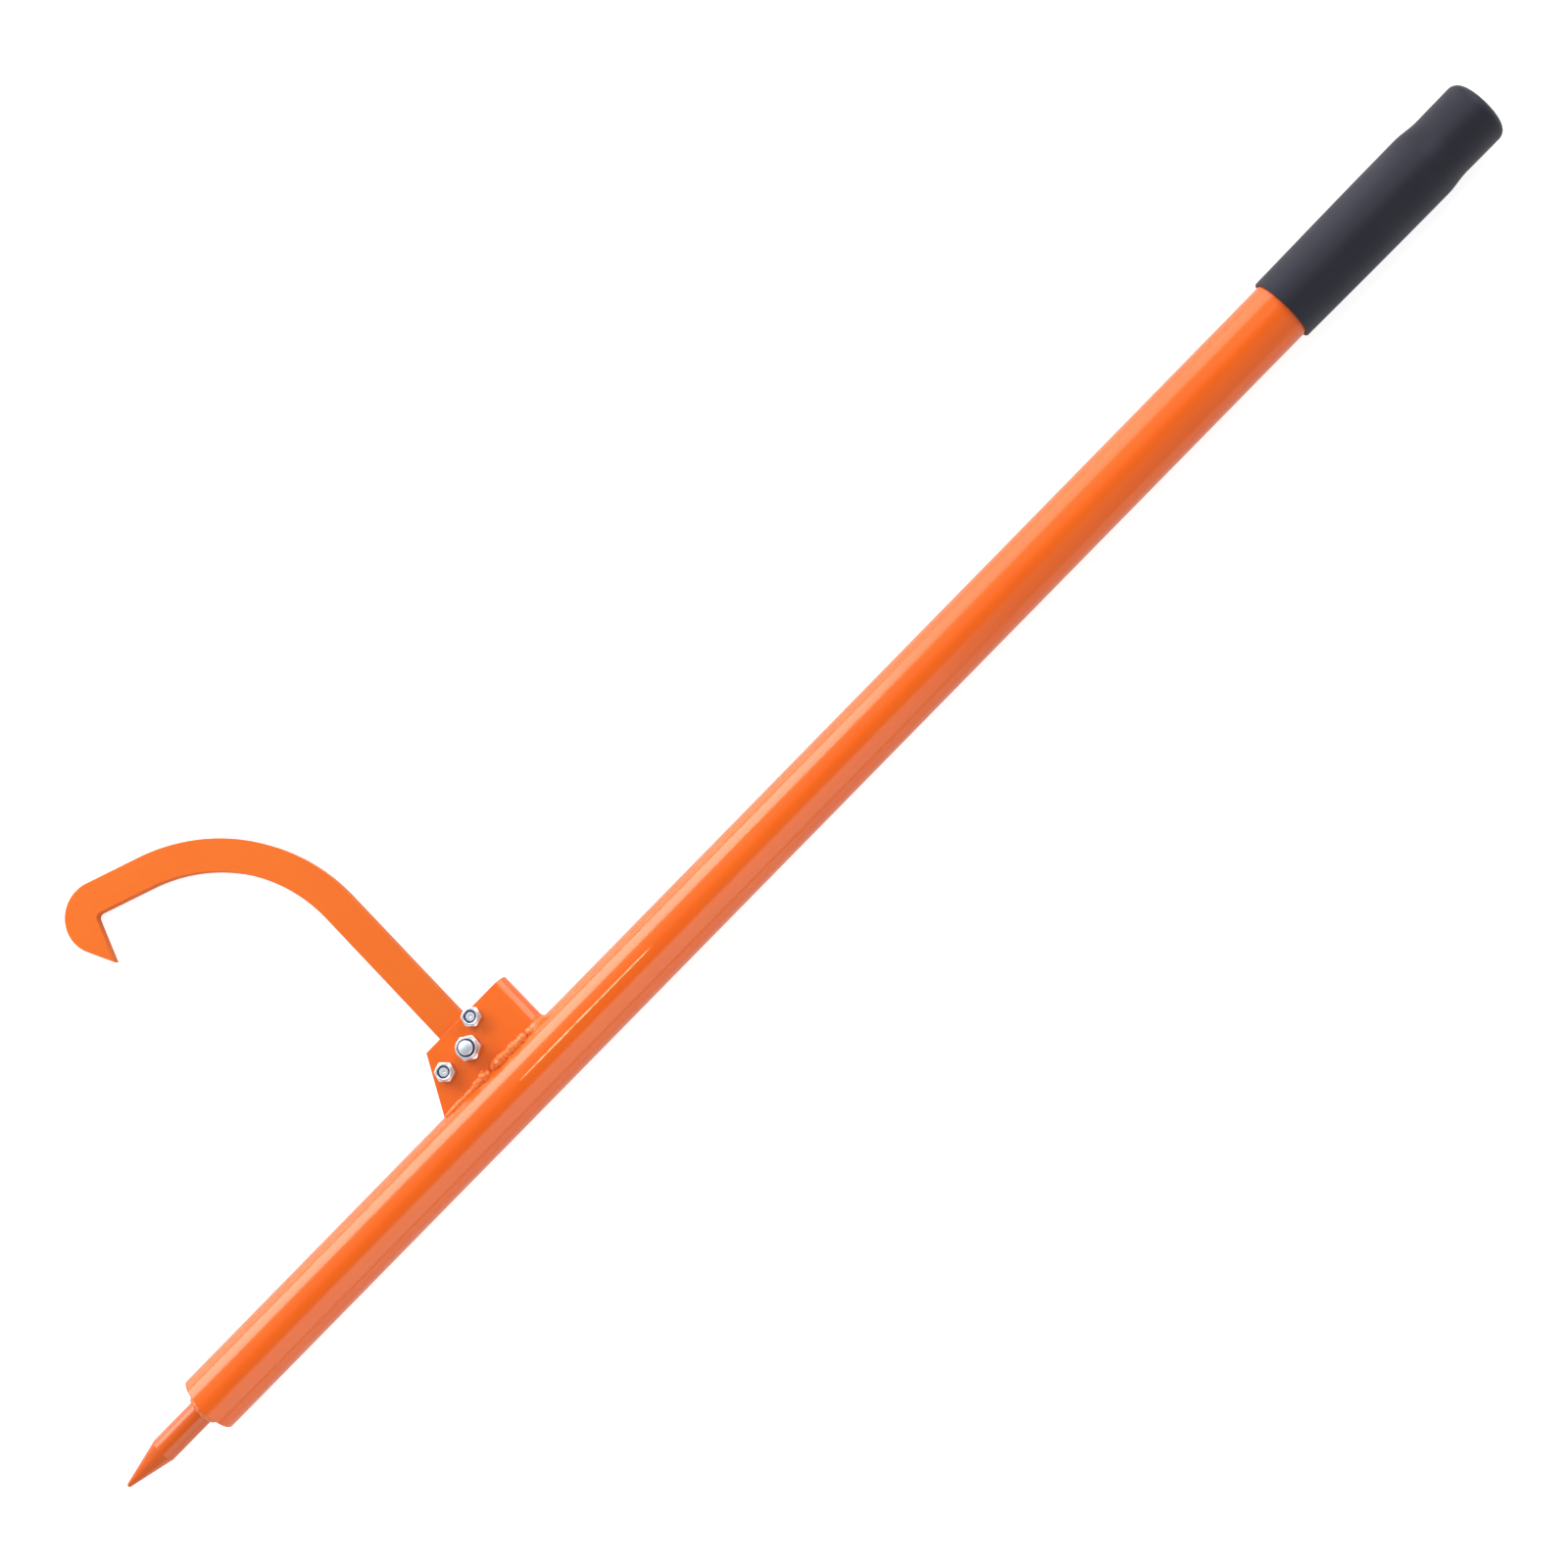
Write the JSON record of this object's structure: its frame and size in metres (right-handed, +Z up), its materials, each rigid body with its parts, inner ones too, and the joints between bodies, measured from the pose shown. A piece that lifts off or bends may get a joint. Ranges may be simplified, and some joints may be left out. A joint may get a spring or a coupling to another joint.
{
  "type": "peavey",
  "caption": "Long steel peavey with a spiked tip, a swinging hooked jaw on a welded bracket and a rubber grip, for rolling and levering logs.",
  "frame": {"origin": "centre of the bounding box's underside, on the ground that the tool lies on", "axes": "+X along the handle from the spike's tip to the grip's butt, +Y to the side of the hook, +Z up from the ground, within 3.3 degrees of square to the hook's plate"},
  "size_m": [1.25, 0.3346, 0.0486],
  "materials": {
    "orange_powder_coat": "glossy powder coat on steel",
    "bright_zinc": "bright zinc plate",
    "blue_nylon": "matte nylon",
    "black_rubber": "smooth matte rubber"
  },
  "bodies": {
    "handle": {"handle_tube": "orange_powder_coat", "spike": "orange_powder_coat", "spike_front_disc": "orange_powder_coat", "spike_rear_disc": "orange_powder_coat", "spike_weld": "orange_powder_coat", "tube_mouth_weld": "orange_powder_coat", "grip": "black_rubber", "bracket": "orange_powder_coat", "bracket_weld_front": "orange_powder_coat", "bracket_weld_rear": "orange_powder_coat", "bracket_weld_back": "orange_powder_coat", "pivot_bolt": "bright_zinc", "pivot_nut": "bright_zinc", "pivot_nut_insert": "blue_nylon", "upper_stop_bolt": "bright_zinc", "upper_stop_nut": "bright_zinc", "upper_stop_nut_insert": "blue_nylon", "lower_stop_bolt": "bright_zinc", "lower_stop_nut": "bright_zinc", "lower_stop_nut_insert": "blue_nylon"},
    "swinging_hook": {"hook": "orange_powder_coat"}
  },
  "joints": [
    {"name": "hook_pivot", "type": "hinge", "parent": "handle", "child": "swinging_hook", "pos_m": [-0.26002, -0.10341, 0.01961], "axis": [-0.0029, 0.0563, 0.9984], "range_deg": [0, 45]}
  ]
}
